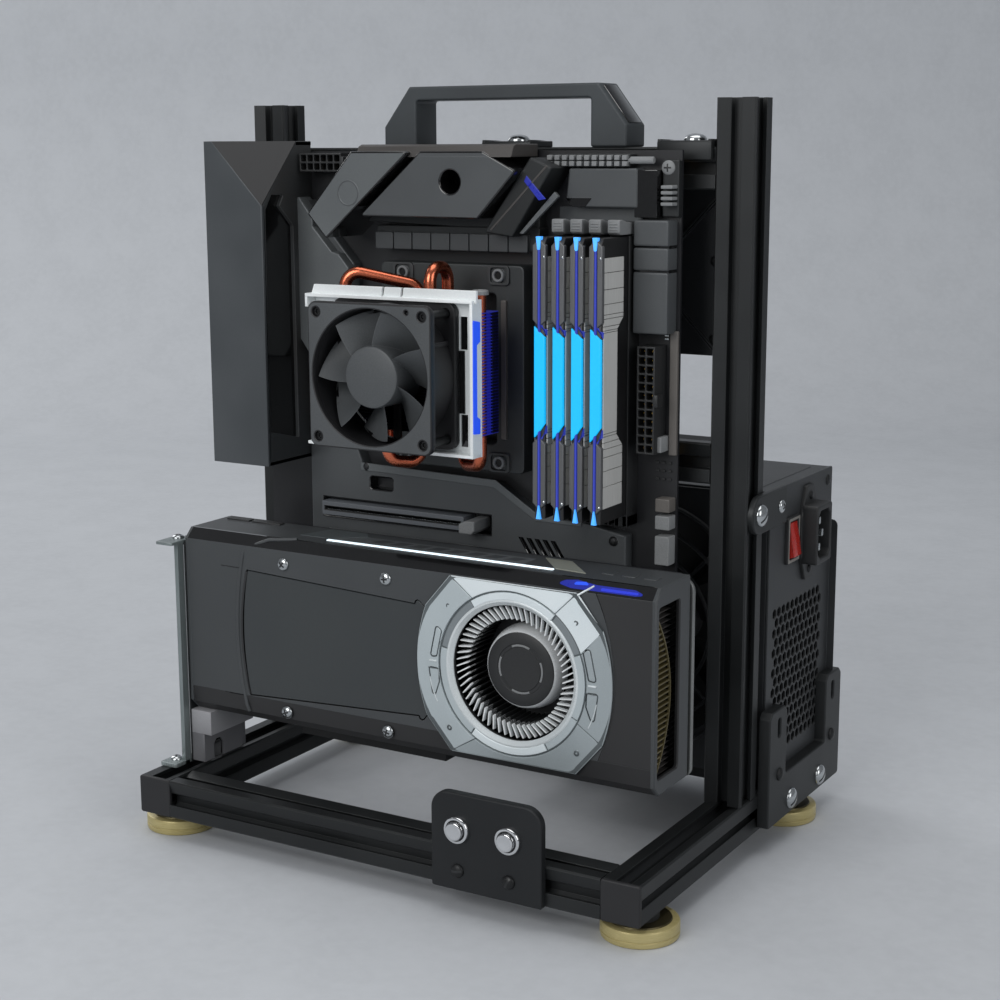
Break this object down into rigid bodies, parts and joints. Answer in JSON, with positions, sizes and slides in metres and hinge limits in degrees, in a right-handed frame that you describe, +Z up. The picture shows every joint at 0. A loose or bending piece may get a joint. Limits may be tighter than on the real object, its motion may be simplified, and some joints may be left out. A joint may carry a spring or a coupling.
{
  "type": "open air test bench",
  "caption": "Portable stand of slotted aluminium profile that holds a mainboard, graphics card and power supply in the open for testing",
  "frame": {"origin": "middle of the whole bench's footprint, on the surface that it stands on", "axes": "+X to the right seen from the front, +Y to the back, +Z up"},
  "size_m": [0.3104, 0.2434, 0.385],
  "materials": {
    "black_profile": "black anodised, fine satin",
    "cap_plastic": "moulded black",
    "foot_metal": "turned, pale gold anodised",
    "handle_metal": "dark grey powder coat",
    "bracket_metal": "black anodised plate",
    "tray_sheet": "black coated sheet",
    "brass": "turned",
    "button_chrome": "polished",
    "black_screw": "blackened steel",
    "bright_screw": "polished nickel",
    "supply_sheet": "fine black powder coat",
    "black_plastic": "moulded",
    "wire": "black coated wire",
    "grey_plastic": "moulded",
    "red_rocker": "moulded, gloss",
    "card_shell": "dark grey satin",
    "card_panel": "smoked panel",
    "silver": "brushed silver",
    "circuit_board": "black solder mask",
    "bronze_fins": "bronze toned fins",
    "armour": "dark grey satin coating",
    "cover_plastic": "dark grey, fine texture",
    "socket_plastic": "moulded grey",
    "module_shell": "grey spreader with a lit bar",
    "latch_plastic": "moulded light grey",
    "white_cowl": "white gloss",
    "cooler_fin": "plain sheet",
    "copper": "bare copper"
  },
  "bodies": {
    "bench": {"base_rail_left": "black_profile", "base_rail_right": "black_profile", "base_rail_front": "black_profile", "base_rail_rear": "black_profile", "post_left": "black_profile", "post_right": "black_profile", "crossbar_upper": "black_profile", "crossbar_lower": "black_profile", "rail_end_caps": "cap_plastic", "feet": "foot_metal", "handle": "handle_metal", "angle_brackets": "bracket_metal", "back_tray": "tray_sheet", "board_standoffs": "brass", "switch_plate": "bracket_metal", "button_housings": "button_chrome", "black_screws": "black_screw", "dome_screws": "bright_screw", "small_screws": "bright_screw", "psu_housing": "supply_sheet", "psu_fan_side": "supply_sheet", "psu_fan_mount": "black_plastic", "psu_fan_grille": "wire", "power_inlet": "black_plastic", "rocker_bezel": "grey_plastic", "psu_bracket": "bracket_metal", "psu_tab": "bracket_metal", "card_shroud": "card_shell", "card_window": "card_panel", "card_fan_ring": "silver", "card_board": "circuit_board", "card_back_plate": "silver", "card_fins": "bronze_fins", "card_bracket": "armour", "card_strut": "silver", "riser_socket": "black_plastic", "mainboard": "circuit_board", "port_cover": "cover_plastic", "regulator_cover": "armour", "board_armour": "armour", "right_cover": "cover_plastic", "edge_sockets": "socket_plastic", "memory_modules": "module_shell", "power_sockets": "socket_plastic", "cooler_fan_frame": "black_plastic", "cooler_cowl": "white_cowl", "cooler_fins": "cooler_fin", "cooler_mount": "black_plastic", "heat_pipes": "copper"},
    "power_plunger": {"power_button": "button_chrome"},
    "reset_plunger": {"reset_button": "button_chrome"},
    "mains_rocker": {"rocker_switch": "red_rocker"},
    "cooler_rotor": {"cooler_fan_rotor": "black_plastic"},
    "card_rotor": {"card_blower": "black_plastic"},
    "supply_rotor": {"psu_fan_rotor": "black_plastic"},
    "slot_catch": {"slot_latch": "latch_plastic"},
    "memory_catch_1": {"memory_latch_1": "latch_plastic"},
    "memory_catch_2": {"memory_latch_2": "latch_plastic"},
    "memory_catch_3": {"memory_latch_3": "latch_plastic"},
    "memory_catch_4": {"memory_latch_4": "latch_plastic"}
  },
  "joints": [
    {"name": "power_press", "type": "slide", "parent": "bench", "child": "power_plunger", "axis": [0, 1, 0], "range_m": [0, 0.0018], "stiffness_N_per_m": 300},
    {"name": "reset_press", "type": "slide", "parent": "bench", "child": "reset_plunger", "axis": [0, 1, 0], "range_m": [0, 0.0018], "stiffness_N_per_m": 300},
    {"name": "mains_rock", "type": "hinge", "parent": "bench", "child": "mains_rocker", "pos_m": [0.14575, 0.05625, 0.158], "axis": [0, 1, 0], "range_deg": [0, 22]},
    {"name": "cooler_spin", "type": "hinge", "parent": "bench", "child": "cooler_rotor", "pos_m": [-0.00875, -0.08875, 0.248], "axis": [0, 1, 0], "continuous": true},
    {"name": "card_spin", "type": "hinge", "parent": "bench", "child": "card_rotor", "pos_m": [0.06275, -0.07075, 0.1108], "axis": [0, 1, 0], "continuous": true},
    {"name": "supply_spin", "type": "hinge", "parent": "bench", "child": "supply_rotor", "pos_m": [0.07525, 0.04625, 0.112], "axis": [0, 1, 0], "continuous": true},
    {"name": "slot_catch_turn", "type": "hinge", "parent": "bench", "child": "slot_catch", "pos_m": [0.00875, -0.01975, 0.166], "axis": [0, 0, 1], "range_deg": [0, 25]},
    {"name": "memory_catch_1_turn", "type": "hinge", "parent": "bench", "child": "memory_catch_1", "pos_m": [0.06075, -0.01975, 0.3163], "axis": [-1, 0, 0], "range_deg": [0, 28]},
    {"name": "memory_catch_2_turn", "type": "hinge", "parent": "bench", "child": "memory_catch_2", "pos_m": [0.07065, -0.01975, 0.3163], "axis": [-1, 0, 0], "range_deg": [0, 28]},
    {"name": "memory_catch_3_turn", "type": "hinge", "parent": "bench", "child": "memory_catch_3", "pos_m": [0.08055, -0.01975, 0.3163], "axis": [-1, 0, 0], "range_deg": [0, 28]},
    {"name": "memory_catch_4_turn", "type": "hinge", "parent": "bench", "child": "memory_catch_4", "pos_m": [0.09045, -0.01975, 0.3163], "axis": [-1, 0, 0], "range_deg": [0, 28]}
  ]
}
